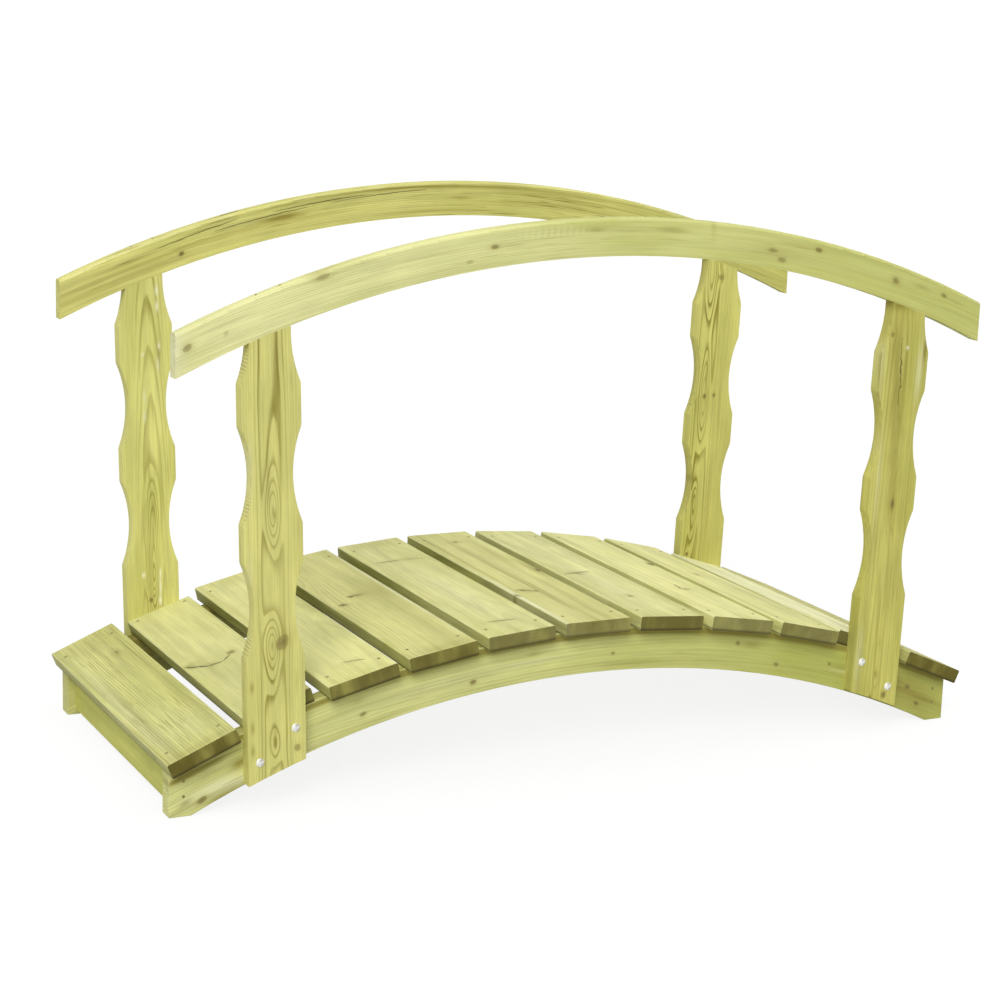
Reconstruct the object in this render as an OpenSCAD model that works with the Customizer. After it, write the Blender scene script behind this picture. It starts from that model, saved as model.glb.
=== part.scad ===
// Arched garden footbridge in sawn softwood: two cut arch beams, deck boards laid along
// their top edges, four shaped posts bolted to the sides, and two arched handrails.
// Millimetres. X runs along the bridge, Y across it, Z up; the ground is Z = 0.

/* [Deck] */
// Length of a full deck board, which is the width of the bridge.
deck_width = 740; // [500:1:1200]
// Width of each deck board along the walk.
board_width = 138; // [80:1:180]
// Thickness of each deck board.
board_thickness = 28; // [18:0.5:45]
// Which board, counted from either end, stands between a pair of posts.
post_board = 2; // [2:1:3]
// How far the lower edge of each end board reaches past the end of the arch beams.
end_overhang = 3; // [0:1:30]
// Rounding of the long edges of the deck boards.
board_easing = 3; // [0.5:0.5:8]

/* [Arch beams] */
// Length of each arch beam over its two square-cut ends.
beam_length = 1674; // [1400:1:2000]
// Thickness of each arch beam.
beam_thickness = 36; // [24:1:60]
// Radius of the top edge of the beams.
beam_top_radius = 2000; // [1700:1:2600]
// Height of the top edge of the beams at mid span.
beam_crown = 269; // [250:1:330]
// Radius of the lower edge of the beams.
beam_underside_radius = 1812; // [1600:1:2100]
// Height of the lower edge of the beams at mid span.
beam_underside_crown = 184; // [140:1:200]

/* [End risers] */
// Thickness of the riser board that closes each end under the deck.
riser_thickness = 20; // [12:1:32]
// How far the riser stands back from the ends of the beams.
riser_setback = 17; // [0:1:60]
// Height of the lower edge of the riser above the ground.
riser_bottom = 11; // [0:1:30]

/* [Posts] */
// Thickness of the posts.
post_thickness = 28; // [18:1:45]
// Width of a post across its base and its bulges.
post_width = 110; // [80:1:130]
// Width of a post at its necks.
neck_width = 76; // [50:1:100]
// Outward lean of each post, in degrees.
post_lean = 1.7; // [0:0.1:3]
// How far a post stands outward of the middle of the board beside it.
post_offset = 18; // [0:1:24]
// How far the outer faces of the posts stand back from the ends of the full boards.
post_inset = 4; // [0:0.5:10]
// Radius of the hollows scalloped into the edges of a post.
scallop_radius = 230; // [180:1:300]
// Rounding of the corners where a hollow runs out into the straight edge.
scallop_easing = 20; // [4:1:40]
// Height above the ground of the middle of the lower hollows.
lower_scallop = 374; // [360:1:400]
// Height above the ground of the middle of the upper hollows.
upper_scallop = 616; // [590:1:640]
// Height above the ground at which a post has narrowed to its straight top neck.
top_neck = 866; // [840:1:880]
// How far the lower end of a post stays above the lower edge of the beam.
post_toe = 5; // [0:1:30]

/* [Handrails] */
// Height of the top of the handrails at mid span, which is the height of the bridge.
rail_crown = 1055; // [980:1:1200]
// Radius of the top edge of the handrails.
rail_top_radius = 2010; // [1700:1:2600]
// Depth of the handrails from top to underside.
rail_depth = 70; // [50:1:100]
// Thickness of the handrails.
rail_thickness = 28; // [18:1:45]
// Length of each handrail over its upright ends.
rail_length = 1672; // [1450:1:2000]
// Rounding of the upper edges of the handrails.
rail_easing = 6; // [1:0.5:9]

/* [Hidden] */
$fn = 96;
// Number of deck boards, each a node of its own.
board_count = 11;

// Width over the outer faces of the beams, which the posts stand against. The ends of the
// full boards stand out a little past the posts, as far as the heads of their bolts.
post_spread = deck_width - 2 * post_inset;
beam_spread = post_spread - 2 * post_thickness;
// Clear width between the beams.
bay_width = beam_spread - 2 * beam_thickness;
// Heights of the centres of the beam and handrail curves.
beam_centre = beam_crown - beam_top_radius;
underside_centre = beam_underside_crown - beam_underside_radius;
rail_centre = rail_crown - rail_top_radius;
rail_underside_radius = rail_top_radius - rail_depth;

// Each board lies on a flat planed across the beam's curved edge, as wide as the board.
seat_radius = sqrt(pow(beam_top_radius, 2) - pow(board_width / 2, 2));
// Angle from the crown to the end board, whose lower edge passes the beam by end_overhang.
end_reach = beam_length / 2 + end_overhang;
end_angle = asin(end_reach / beam_top_radius) - asin(board_width / 2 / beam_top_radius);
board_step = 2 * end_angle / (board_count - 1);
function board_angle(i) = (i - 1) * board_step - end_angle;

// Underside of the end board at the riser's outer face, which the riser fits beneath.
riser_face = beam_length / 2 - riser_setback;
fit_gap = 0.3;
riser_top = beam_centre + (seat_radius - riser_face * sin(end_angle)) / cos(end_angle) - fit_gap;

// A post's axis passes here, beside its board, and leans outward from it.
post_angle = end_angle - (post_board - 1) * board_step;
post_x = seat_radius * sin(post_angle) + post_offset;
post_z = beam_centre + seat_radius * cos(post_angle);

// Depth of the hollows in a post's edge, and how far up and down each one reaches. The arcs
// of the edge lap by a hair, so that they run into one another without a step.
scallop_depth = (post_width - neck_width) / 2;
arc_lap = 0.002;
scallop_reach = sqrt(pow(scallop_radius + scallop_easing - arc_lap, 2)
    - pow(scallop_radius + scallop_easing - scallop_depth, 2));

// Stands a drawing made in X and Z upright and gives it a thickness from y towards +Y.
module upright(y, thickness)
    translate([0, y + thickness, 0]) rotate([90, 0, 0])
        linear_extrude(thickness) children();

// A plank's section centred on X and standing on Y = 0, with its upper corners rounded.
module eased_top(width, height, easing) {
    translate([-width / 2, 0]) square([width, height - easing]);
    translate([-width / 2 + easing, 0]) square([width - 2 * easing, height]);
    for (side = [-1, 1]) translate([side * (width / 2 - easing), height - easing]) circle(easing);
}

// The same section with all four corners rounded.
module eased_all(width, height, easing) {
    translate([0, easing]) eased_top(width, height - easing, easing);
    translate([-width / 2 + easing, 0]) square([width - 2 * easing, height - easing]);
    for (side = [-1, 1]) translate([side * (width / 2 - easing), easing]) circle(easing);
}

// Arch beam: one plank cut to two curves, standing on a flat foot at each end, with a
// seat planed on its top edge for every board.
module beam_outline()
    difference() {
        intersection() {
            translate([0, beam_centre]) circle(beam_top_radius, $fn = 720);
            translate([-beam_length / 2, 0]) square([beam_length, 2 * beam_crown]);
        }
        translate([0, underside_centre]) circle(beam_underside_radius, $fn = 720);
        translate([0, beam_centre])
            for (i = [1:board_count]) rotate(-board_angle(i))
                translate([-board_width, seat_radius]) square([2 * board_width, board_width]);
    }

module stringer_near() color("#b9b56a") upright(-beam_spread / 2, beam_thickness) beam_outline();

module stringer_far()
    color("#b9b56a") upright(beam_spread / 2 - beam_thickness, beam_thickness) beam_outline();

// Riser: a plain board set between the beams, just under the end board.
module riser(side)
    translate([side > 0 ? riser_face - riser_thickness : -riser_face, -bay_width / 2,
            riser_bottom])
        cube([riser_thickness, bay_width, riser_top - riser_bottom]);

module riser_left() color("#9c9a55") riser(-1);

module riser_right() color("#9c9a55") riser(1);

// Deck board number i, square to the curve. The boards beside the posts stop flush with
// the beams, and the rest run out past them.
module deck_board(i) {
    beside_post = i == post_board || i == board_count + 1 - post_board;
    length = beside_post ? beam_spread : deck_width;
    translate([0, 0, beam_centre]) rotate([0, board_angle(i), 0])
        translate([0, 0, seat_radius]) upright(-length / 2, length)
            eased_all(board_width, board_thickness, board_easing);
}

// What one hollow cuts out of a post's +X edge, with its middle at Z = 0: the hollow arc,
// and the smaller arcs that lead from it into the straight edge. The top hollow has them
// only at its lower end.
module scallop(whole) {
    corner = post_width / 2 - scallop_easing;
    meet = scallop_reach * scallop_radius / (scallop_radius + scallop_easing);
    translate([neck_width / 2 + scallop_radius, 0]) circle(scallop_radius, $fn = 360);
    for (way = whole ? [-1, 1] : [-1]) difference() {
        translate([corner, way > 0 ? meet : -scallop_reach])
            square([post_width, scallop_reach - meet]);
        translate([corner, way * scallop_reach]) circle(scallop_easing);
    }
}

// The blank of a post, drawn upright about its axis, before its ends are cut: a straight
// base, two hollows in each edge with a bulge after each, and a straight top neck.
module post_blank()
    difference() {
        translate([-post_width / 2, -post_width])
            square([post_width, rail_crown + post_width]);
        for (side = [0, 1]) mirror([side, 0]) {
            translate([0, lower_scallop]) scallop(true);
            translate([0, upper_scallop]) scallop(true);
            translate([0, top_neck]) scallop(false);
            translate([neck_width / 2, top_neck]) square([post_width, rail_crown]);
        }
    }

// A post in place: leaning outward, its top cut to the curve under the handrail and its
// foot cut to the curve of the beam's lower edge, a little above it.
module post_outline(side)
    mirror([side > 0 ? 0 : 1, 0]) difference() {
        intersection() {
            translate([post_x, post_z]) rotate(-post_lean) translate([0, -post_z]) post_blank();
            translate([0, rail_centre]) circle(rail_underside_radius, $fn = 720);
        }
        translate([0, underside_centre])
            circle(beam_underside_radius + post_toe, $fn = 720);
    }

module post_near_left()
    color("#cfcc80") upright(-post_spread / 2, post_thickness) post_outline(-1);

module post_near_right()
    color("#cfcc80") upright(-post_spread / 2, post_thickness) post_outline(1);

module post_far_left()
    color("#cfcc80") upright(beam_spread / 2, post_thickness) post_outline(-1);

module post_far_right()
    color("#cfcc80") upright(beam_spread / 2, post_thickness) post_outline(1);

// Handrail: a curved plank with rounded upper edges, standing on the cut tops of the
// posts, centred on their thickness.
module handrail(side)
    translate([0, side * (beam_spread + post_thickness) / 2, 0]) intersection() {
        translate([0, 0, rail_centre]) rotate([90, 0, 0]) rotate_extrude($fn = 720)
            translate([rail_underside_radius, 0]) rotate(-90)
                eased_top(rail_thickness, rail_depth, rail_easing);
        translate([-rail_length / 2, -rail_thickness, 0])
            cube([rail_length, 2 * rail_thickness, 2 * rail_crown]);
    }

module handrail_near() color("#dcdba0") handrail(-1);

module handrail_far() color("#dcdba0") handrail(1);

stringer_near();
stringer_far();
riser_left();
riser_right();
color("#c4c178") deck_board(1);  // deck_board_01
color("#c4c178") deck_board(2);  // deck_board_02
color("#c4c178") deck_board(3);  // deck_board_03
color("#c4c178") deck_board(4);  // deck_board_04
color("#c4c178") deck_board(5);  // deck_board_05
color("#c4c178") deck_board(6);  // deck_board_06
color("#c4c178") deck_board(7);  // deck_board_07
color("#c4c178") deck_board(8);  // deck_board_08
color("#c4c178") deck_board(9);  // deck_board_09
color("#c4c178") deck_board(10);  // deck_board_10
color("#c4c178") deck_board(11);  // deck_board_11
post_near_left();
post_near_right();
post_far_left();
post_far_right();
handrail_near();
handrail_far();
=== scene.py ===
# %% [markdown]
# # An arched garden bridge in pressure-treated pine
#
# The bridge is joined from sawn pine: two arch beams, eleven deck boards, four scalloped
# posts and two arched handrails. Its solids were drawn in a CAD program and arrive here as
# a fixed frame, one object for each piece of timber. This lesson keeps those shapes and
# gives them what the CAD program can't: softened edges, wood that grows the right way in
# every piece, and the bolts, screws and nails that hold it together.

# %% Load the frame
import math
import random

import bmesh
import bpy
from mathutils import Matrix, Vector


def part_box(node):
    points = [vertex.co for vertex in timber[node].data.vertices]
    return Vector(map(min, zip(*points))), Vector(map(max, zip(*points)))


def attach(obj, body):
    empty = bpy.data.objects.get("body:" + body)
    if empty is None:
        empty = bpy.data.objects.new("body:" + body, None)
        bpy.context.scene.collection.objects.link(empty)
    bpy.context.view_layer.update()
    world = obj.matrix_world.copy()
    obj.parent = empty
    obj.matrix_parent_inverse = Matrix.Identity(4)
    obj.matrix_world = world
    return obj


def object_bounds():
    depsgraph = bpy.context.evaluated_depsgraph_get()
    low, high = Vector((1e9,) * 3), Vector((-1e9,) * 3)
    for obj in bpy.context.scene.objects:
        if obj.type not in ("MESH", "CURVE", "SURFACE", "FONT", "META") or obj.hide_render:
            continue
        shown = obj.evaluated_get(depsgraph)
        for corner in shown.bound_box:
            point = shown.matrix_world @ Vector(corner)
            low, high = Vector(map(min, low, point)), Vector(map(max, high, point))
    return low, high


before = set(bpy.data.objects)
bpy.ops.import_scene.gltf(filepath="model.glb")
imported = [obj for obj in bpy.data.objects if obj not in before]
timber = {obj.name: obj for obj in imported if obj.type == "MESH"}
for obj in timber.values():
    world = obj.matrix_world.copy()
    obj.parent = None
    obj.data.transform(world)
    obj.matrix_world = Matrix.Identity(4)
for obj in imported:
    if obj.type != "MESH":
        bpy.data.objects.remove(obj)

cad_low, cad_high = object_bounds()
print("pieces of timber:", len(timber))
print("box in metres:", [round(v, 3) for v in cad_high - cad_low])

# %% [markdown]
# ## The camera
#
# The viewer stands in front of the left end, a little above the rails, and looks down at
# the deck. A camera can be turned by hand until the view feels right, or be set from three
# angles: how far round the bridge it stands, how high it looks down from, and how much it
# leans to one side. The angles are used here, because they can be read and changed one at
# a time. A long lens keeps the near and the far end of the bridge close to the same size.

# %% Set up the camera
def looking(azimuth, elevation, lean):
    """The turn of a camera that looks at the bridge from these angles, in degrees."""
    azimuth, elevation, lean = (math.radians(v) for v in (azimuth, elevation, lean))
    back = Vector((math.sin(azimuth) * math.cos(elevation),
                   -math.cos(azimuth) * math.cos(elevation), math.sin(elevation)))
    right = Vector((0, 0, 1)).cross(back).normalized()
    up = back.cross(right)
    leaning_right = right * math.cos(lean) + up * math.sin(lean)
    leaning_up = up * math.cos(lean) - right * math.sin(lean)
    return Matrix((leaning_right, leaning_up, back)).transposed()


camera_lens = bpy.data.cameras.new("camera")
camera_lens.sensor_width = 36.0
camera_lens.lens = 86.16
camera_lens.clip_end = 60.0
camera = bpy.data.objects.new("camera", camera_lens)
bpy.context.scene.collection.objects.link(camera)
bpy.context.scene.camera = camera
viewer_place, viewer_angles = (-2.120, -4.208, 1.5005), (-26.42, 12.63, 1.88)
camera.matrix_world = (Matrix.Translation(viewer_place)
                       @ looking(*viewer_angles).to_4x4())
print("camera stands", round(camera.location.length, 2), "m from the middle of the bridge")

# %% [markdown]
# ## Light
#
# A plain studio: daylight through a wide screen in front on the left, more of it from
# overhead, and a pale surround that fills the shadows. Small lamps close by would light one
# end of a long bridge more than the other, so both are sun lamps, whose light is the same
# all along it. A sun can be given a width: the wider it is, the softer the edges of its
# shadows. The levels add up to about 1 on the deck, so that a painted colour comes out
# about as it was mixed.

# %% Hang the lamps
lamp_distance = 3


def soft_sun(name, towards, level, width):
    """Daylight from one side. A board that faces it gets that level from it."""
    lamp = bpy.data.lights.new(name, "SUN")
    lamp.energy = level * math.pi
    lamp.angle = math.radians(width)
    sun = bpy.data.objects.new(name, lamp)
    bpy.context.scene.collection.objects.link(sun)
    turn = Vector(towards).to_track_quat("Z", "Y").to_matrix().to_4x4()
    sun.matrix_world = Matrix.Translation(Vector(towards) * lamp_distance) @ turn


soft_sun("screen_front_left", (-0.46, -0.67, 0.58), 0.58, 32)
soft_sun("screen_overhead", (0.10, -0.10, 0.98), 0.22, 50)
bpy.context.scene.view_settings.view_transform = "Standard"

surround = bpy.data.worlds.new("surround")
bpy.context.scene.world = surround
surround.use_nodes = True
fill_level = 0.42
world_nodes = surround.node_tree
background = world_nodes.nodes["Background"]
background.inputs["Color"].default_value = (1.0, 1.0, 1.0, 1.0)
print("lamps:", len(bpy.data.lights), "fill level", fill_level)

# %% [markdown]
# ## A short way to wire nodes
#
# Wood is too regular to paint by hand and too irregular for one texture, so its colour is
# worked out by nodes from the place of each point in the board. That takes some two hundred
# small sums. Added and joined one by one, they would bury what is being worked out. So what
# a node gives out is wrapped in a small class that knows +, -, * and /: each sum then adds
# its own node, and a material can be written down like arithmetic.

# %% Sums that add their own nodes
class Result:
    """What a node gives out: a number, a place or a colour that can be used in sums."""

    def __init__(self, socket):
        self.socket, self.tree = socket, socket.id_data

    def __add__(self, other):
        return calc("ADD", self, other)

    def __sub__(self, other):
        return calc("SUBTRACT", self, other)

    def __rsub__(self, other):
        return calc("SUBTRACT", other, self)

    def __mul__(self, other):
        return calc("MULTIPLY", self, other)

    def __truediv__(self, other):
        return calc("DIVIDE", self, other)

    def __pow__(self, power):
        return calc("POWER", self, power)

    def __abs__(self):
        return calc("ABSOLUTE", self)


def join(value, socket):
    """Links a result to a socket, or sets the socket where the value is a plain one."""
    if isinstance(value, Result):
        value.tree.links.new(value.socket, socket)
    else:
        socket.default_value = value


def add_node(tree, kind, *values, **settings):
    """Adds a node, sets it up and feeds its inputs in their order."""
    node = tree.nodes.new("ShaderNode" + kind)
    for label, setting in settings.items():
        setattr(node, label, setting)
    for value, socket in zip(values, node.inputs):
        join(value, socket)
    return node


def out_of(node, output=0):
    """One of the things that a node gives out."""
    return Result(node.outputs[output])


def first_result(values):
    return next(value for value in values if isinstance(value, Result))


def calc(operation, *values):
    """One sum, such as calc("MAXIMUM", a, b), on numbers or on places."""
    first = first_result(values)
    kind = "VectorMath" if first.socket.type == "VECTOR" else "Math"
    node = add_node(first.tree, kind, *values, operation=operation)
    return out_of(node, 1 if operation in ("LENGTH", "DOT_PRODUCT") else 0)


def clamped(total):
    """Keeps the last sum between 0 and 1."""
    total.socket.node.use_clamp = True
    return total


print("signs that add a node: + - * / ** abs")

# %% [markdown]
# The next helpers cover what isn't a plain sum: taking a place apart and putting it
# together, a smooth rise, a cloudy noise, and the mixing and toning of colours. Colours are
# written as they are seen, from 0 to 255, and turned into light here.

# %% Helpers for places, noises and colours
def split(place):
    """The three parts of a place or a direction."""
    return [Result(socket) for socket in add_node(place.tree, "SeparateXYZ", place).outputs]


def pack(x, y, z):
    """A place from three parts."""
    return out_of(add_node(first_result((x, y, z)).tree, "CombineXYZ", x, y, z))


def rise(value, low, high):
    """0 below low, 1 above high, and a smooth rise between; low may be the larger."""
    return out_of(add_node(value.tree, "MapRange", value, low, high,
                           interpolation_type="SMOOTHSTEP"))


def noise(point, stretch, detail=2.0, roughness=0.5):
    """A cloudy number from 0 to 1, with that many clouds to the metre along each way."""
    node = add_node(point.tree, "TexNoise", point * stretch)
    node.inputs["Scale"].default_value = 1.0
    node.inputs["Detail"].default_value = detail
    node.inputs["Roughness"].default_value = roughness
    return out_of(node, "Fac")


def mix(share, first, second, kind="MIX"):
    """Two colours mixed: share 0 is all of the first."""
    node = add_node(first_result((share, first, second)).tree, "Mix", data_type="RGBA",
                    blend_type=kind)
    for value, colour_socket in ((share, 0), (first, 6), (second, 7)):
        join(value, node.inputs[colour_socket])
    return out_of(node, 2)


def toned(colour, tone):
    """A colour made darker or lighter by a number near 1."""
    return mix(1.0, colour, pack(tone, tone, tone), "MULTIPLY")


def paint(red, green, blue):
    """A colour as it is seen, from 0 to 255, turned into the light that it sends back."""
    def light(level):
        level /= 255.0
        return level / 12.92 if level <= 0.04045 else ((level + 0.055) / 1.055) ** 2.4
    return (light(red), light(green), light(blue), 1.0)


print("a pale pine colour sends back", [round(v, 2) for v in paint(214, 210, 140)[:3]])

# %% [markdown]
# Many of the sums are wanted again and again: once for each knot, or once for each board.
# A group of nodes is written once and used many times, like a function. Its inputs and
# outputs have names and kinds, which are given here as lists of words.

# %% Helpers for groups
def new_group(name, takes, gives):
    """A group, what it takes in, and its way out. Takes and gives list labels by kind."""
    kinds = {"place": "NodeSocketVector", "number": "NodeSocketFloat",
             "colour": "NodeSocketColor"}
    group = bpy.data.node_groups.new(name, "ShaderNodeTree")
    for way, lists in (("INPUT", takes), ("OUTPUT", gives)):
        for kind, labels in lists.items():
            for label in labels.split():
                group.interface.new_socket(label, in_out=way, socket_type=kinds[kind])
    return group, all_out_of(group.nodes.new("NodeGroupInput")), group.nodes.new(
        "NodeGroupOutput")


def all_out_of(node):
    return {socket.name: Result(socket) for socket in node.outputs}


def give_out(way_out, **values):
    """Hands the results of a group to its way out."""
    for label, value in values.items():
        join(value, way_out.inputs[label])
    print(way_out.id_data.name, "has", len(way_out.id_data.nodes), "nodes")


def use_group(group, **values):
    """Puts a group where its values come from, and hands back all that it gives out."""
    node = add_node(first_result(values.values()).tree, "Group", node_tree=group)
    for label, value in values.items():
        join(value, node.inputs[label])
    return all_out_of(node)


print("groups so far:", len(bpy.data.node_groups))

# %% [markdown]
# ## The floor and the white surround
#
# The bridge stands on a plain pale floor. To the camera the surround and the floor are
# white, as in a studio with a paper backdrop, but the light that they throw on the timber
# has to stay soft. The Light Path node tells the two apart: what the camera sees directly
# is raised to white, and what lights the wood is left as it is. The floor keeps a part of
# its real shading, so the soft shadow of the bridge still shows on it.

# %% Whiten the surround
def seen_directly(tree):
    """1 for what is seen directly, in a reflection or through glass, and 0 for light."""
    rays = all_out_of(add_node(tree, "LightPath"))
    first = calc("MAXIMUM", rays["Is Camera Ray"], rays["Is Glossy Ray"])
    return calc("MAXIMUM", first, rays["Is Transmission Ray"])


backdrop_white = 1.0
join(seen_directly(world_nodes) * (backdrop_white - fill_level) + fill_level,
     background.inputs["Strength"])
print("surround seen at", backdrop_white, "and lighting at", fill_level)

# %% Lay the floor
floor_size = 40.0
floor_gap = 0.0005
paper_grey = (0.55, 0.55, 0.55, 1.0)
glow_colour, glow_level, glow_share = (1.0, 1.0, 1.0, 1.0), 1.20, 0.72


def new_finish(name):
    """A material with an empty tree of nodes."""
    material = bpy.data.materials.new(name)
    material.use_nodes = True
    material.node_tree.nodes.clear()
    return material, material.node_tree


edge = floor_size / 2
floor_mesh = bpy.data.meshes.new("studio_floor")
floor_mesh.from_pydata([(-edge, -edge, 0), (edge, -edge, 0), (edge, edge, 0),
                        (-edge, edge, 0)], [], [(0, 1, 2, 3)])
floor = bpy.data.objects.new("studio_floor", floor_mesh)
bpy.context.scene.collection.objects.link(floor)
floor.location.z = cad_low.z - floor_gap

floor_paper, paper_nodes = new_finish("floor_paper")
paper = out_of(add_node(paper_nodes, "BsdfDiffuse", paper_grey))
glow = out_of(add_node(paper_nodes, "Emission", glow_colour, glow_level))
blended = add_node(paper_nodes, "MixShader", seen_directly(paper_nodes) * glow_share, paper,
                   glow)
add_node(paper_nodes, "OutputMaterial", out_of(blended))
floor_mesh.materials.append(floor_paper)
print("floor", floor_size, "m wide")

# %% [markdown]
# ## Where a board lies in its log
#
# A board shows stripes where they run straight along the log, arches where the saw has
# passed through a tapering ring, and rings on its ends. All three come from one thing: the
# distance of each point from the middle of the tree. So every piece gets a frame of its
# own, with X along the grain, Y across the board and Z through its thickness, and the
# nodes measure from there. For a deck board the frame is read from its broadest faces,
# which says how far the board leans on the arch.

# %% Give every piece of timber its own frame
post_lean = math.radians(1.7)


def middle_of(name):
    low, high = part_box(name)
    return (low + high) / 2


def broad_face(name):
    """The direction of the broadest face that looks up."""
    faces = [f for f in timber[name].data.polygons if f.normal.z > 0.5]
    total = Vector((0.0, 0.0, 0.0))
    for face in faces:
        total += face.normal * face.area ** 2
    return total.normalized()


def grain_frame(name):
    """Middle of the piece, and its three ways: along the grain, across, and through."""
    if name.startswith("deck_board"):
        through, along = broad_face(name), Vector((0.0, -1.0, 0.0))
    elif name.startswith("riser"):
        outward = math.copysign(1.0, middle_of(name).x)
        through, along = Vector((outward, 0.0, 0.0)), Vector((0.0, outward, 0.0))
    elif name.startswith("post"):
        lean = math.copysign(post_lean, middle_of(name).x)
        through, along = Vector((0.0, -1.0, 0.0)), Vector((math.sin(lean), 0.0, math.cos(lean)))
    else:
        through, along = Vector((0.0, -1.0, 0.0)), Vector((1.0, 0.0, 0.0))
    return middle_of(name), Matrix((along, through.cross(along), through)).transposed()


for name in ("deck_board_01", "post_near_left", "handrail_near"):
    place, turn = grain_frame(name)
    print(name, "lies at", [round(v, 3) for v in place], "grain along",
          [round(v, 2) for v in turn.col[0]])

# %% [markdown]
# ## Knots
#
# A knot is where a branch left the trunk. The branch is darker and harder than the wood
# round it, and the grain parts and flows past it like water past a stone. A dark disc
# laid over straight grain never looks right, so each knot group does two things: it
# pulls the grain apart before the rings are drawn, and it passes on how far each point is
# from the heart of the nearest knot and how dark that knot is. One group stands for one
# knot, and they are chained.

# %% Make the knot group
knot_group, knot, knot_out = new_group(
    "knot", {"place": "Point",
             "number": "Heart Along Across Radius Length Lean Pull Tone Darkness"},
    {"place": "Point", "number": "Heart Darkness"})
pull_reach_along, pull_reach_across = 2.4, 1.9
x, y, z = split(knot["Point"])
away_x = (x - knot["Along"]) / (knot["Radius"] * knot["Length"])
away_y = (y - knot["Across"]) / knot["Radius"] + away_x * knot["Lean"]
reach = (away_x / pull_reach_along) ** 2.0 + (away_y / pull_reach_across) ** 2.0
shift = (y - knot["Across"]) * (calc("EXPONENT", reach * -1.0) * knot["Pull"])
ragged = (noise(knot["Point"], (90, 90, 40)) - 0.5) * 0.5
distance = calc("SQRT", away_x * away_x + away_y * away_y) + ragged
nearby = rise(distance, 4.0, 2.0)
give_out(knot_out, Point=pack(x, y - shift, z),
         Heart=calc("MINIMUM", knot["Heart"], distance),
         Darkness=knot["Darkness"] * (1.0 - nearby) + nearby * knot["Tone"])

# %% [markdown]
# ## Swellings
#
# Beside a knot, and over a branch stub that the tree has closed over, the yearly rings
# bulge. The saw cuts through such a bulge and shows it as an eye: a nest of long closed
# loops, with arrowheads above and below it. Drawing loops would take a shape for each one.
# Lifting the point a few millimetres before its ring is worked out gives them all at once.

# %% Make the swelling group
def apart_from(mark):
    """How far a point lies from a mark, squared, in the mark's own length and width."""
    x, y, _ = split(mark["Point"])
    away_x = (x - mark["Along"]) / mark["Length"]
    away_y = (y - mark["Across"]) / mark["Width"]
    return away_x * away_x + away_y * away_y


swelling_group, swelling, swelling_out = new_group(
    "swelling", {"place": "Point", "number": "Along Across Length Width Height"},
    {"place": "Point"})
x, y, z = split(swelling["Point"])
bulge = calc("EXPONENT", apart_from(swelling) * -1.0)
give_out(swelling_out, Point=pack(x, y, z + bulge * swelling["Height"]))

# %% [markdown]
# ## Stains, painted shade and cracks
#
# The last marks lie on the wood rather than in its rings. A soft patch is long in the
# direction of the grain, with a torn edge. Most are stains: resin, weather or more
# preservative than elsewhere; some are painted shade, where a board sits on a beam or a
# post meets a rail. A crack is a thin dark line that wanders from one point to another and
# dies away at both ends. Both groups add what they find to a running total, so a board can
# have as many as it needs.

# %% Make the soft patch group
soft_patch_group, stain, soft_patch_out = new_group(
    "stain", {"place": "Point", "number": "Total Along Across Length Width Strength"},
    {"number": "Total"})
torn = noise(stain["Point"], (14, 110, 110), 3.0) * 1.6 + 0.2
soft = calc("EXPONENT", apart_from(stain) * torn * -1.0)
give_out(soft_patch_out, Total=stain["Total"] + soft * stain["Strength"])

# %% Make the crack group
crack_group, crack, crack_out = new_group(
    "crack", {"place": "Point Start End", "number": "Total Width Unrest"},
    {"number": "Total"})
thinnest = 0.00005
x, y, _ = split(crack["Point"])
jagged = (noise(crack["Point"], (46, 46, 10), 2.0, 0.6) - 0.5) * crack["Unrest"]
whole = crack["End"] - crack["Start"]
from_start = pack(x, y + jagged, 0.0) - crack["Start"]
share = clamped(calc("DOT_PRODUCT", from_start, whole) / calc("DOT_PRODUCT", whole, whole))
off_line = calc("LENGTH", from_start - whole * pack(share, share, share))
from_ends = share * (1.0 - share) * 4.0
open_width = crack["Width"] * from_ends ** 0.6 + thinnest
core = rise(off_line, open_width, open_width * 0.2)
bruised = rise(off_line, open_width * 4.5, 0.0)
give_out(crack_out, Total=calc("MAXIMUM", crack["Total"], core * 0.65 + bruised * 0.35))

# %% [markdown]
# ## Pine
#
# Each year the tree lays down a wide pale band and a narrow dark one. The saw cuts through
# these rings at a slant, which draws the lines and arches of the board. Over them lie the
# fine fibres, the green of the preservative, which soaks in unevenly, and the marks of the
# planer. All of it is made from the point in the board's frame, so the grain on a face
# carries on round the edge and over the end, as it does in real timber.

# %% Make the pine group: rings and fibres
pine_group, pine, pine_out = new_group(
    "sawn_pine",
    {"place": "Point Bent Facing Seed Pith Slope", "colour": "Pale Dark Green",
     "number": "Heart Darkness Ring Wander Rings Fibre Streaks Patches Soak Stain Bare Cleft "
               "Ends Sides Wear Chatter Dashes Torn Figure"},
    {"colour": "Colour", "number": "Roughness Height"})
seeded = pine["Point"] + pine["Seed"]
along, across, through = split(pine["Bent"])
_, pith_y, pith_z = split(pine["Pith"])
_, slope_y, slope_z = split(pine["Slope"])


def from_pith(part, pith, slope, cloud):
    """How far a point is from the middle of the tree, one way across the board."""
    return part - pith - slope * along + (cloud - 0.5) * pine["Wander"]


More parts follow.
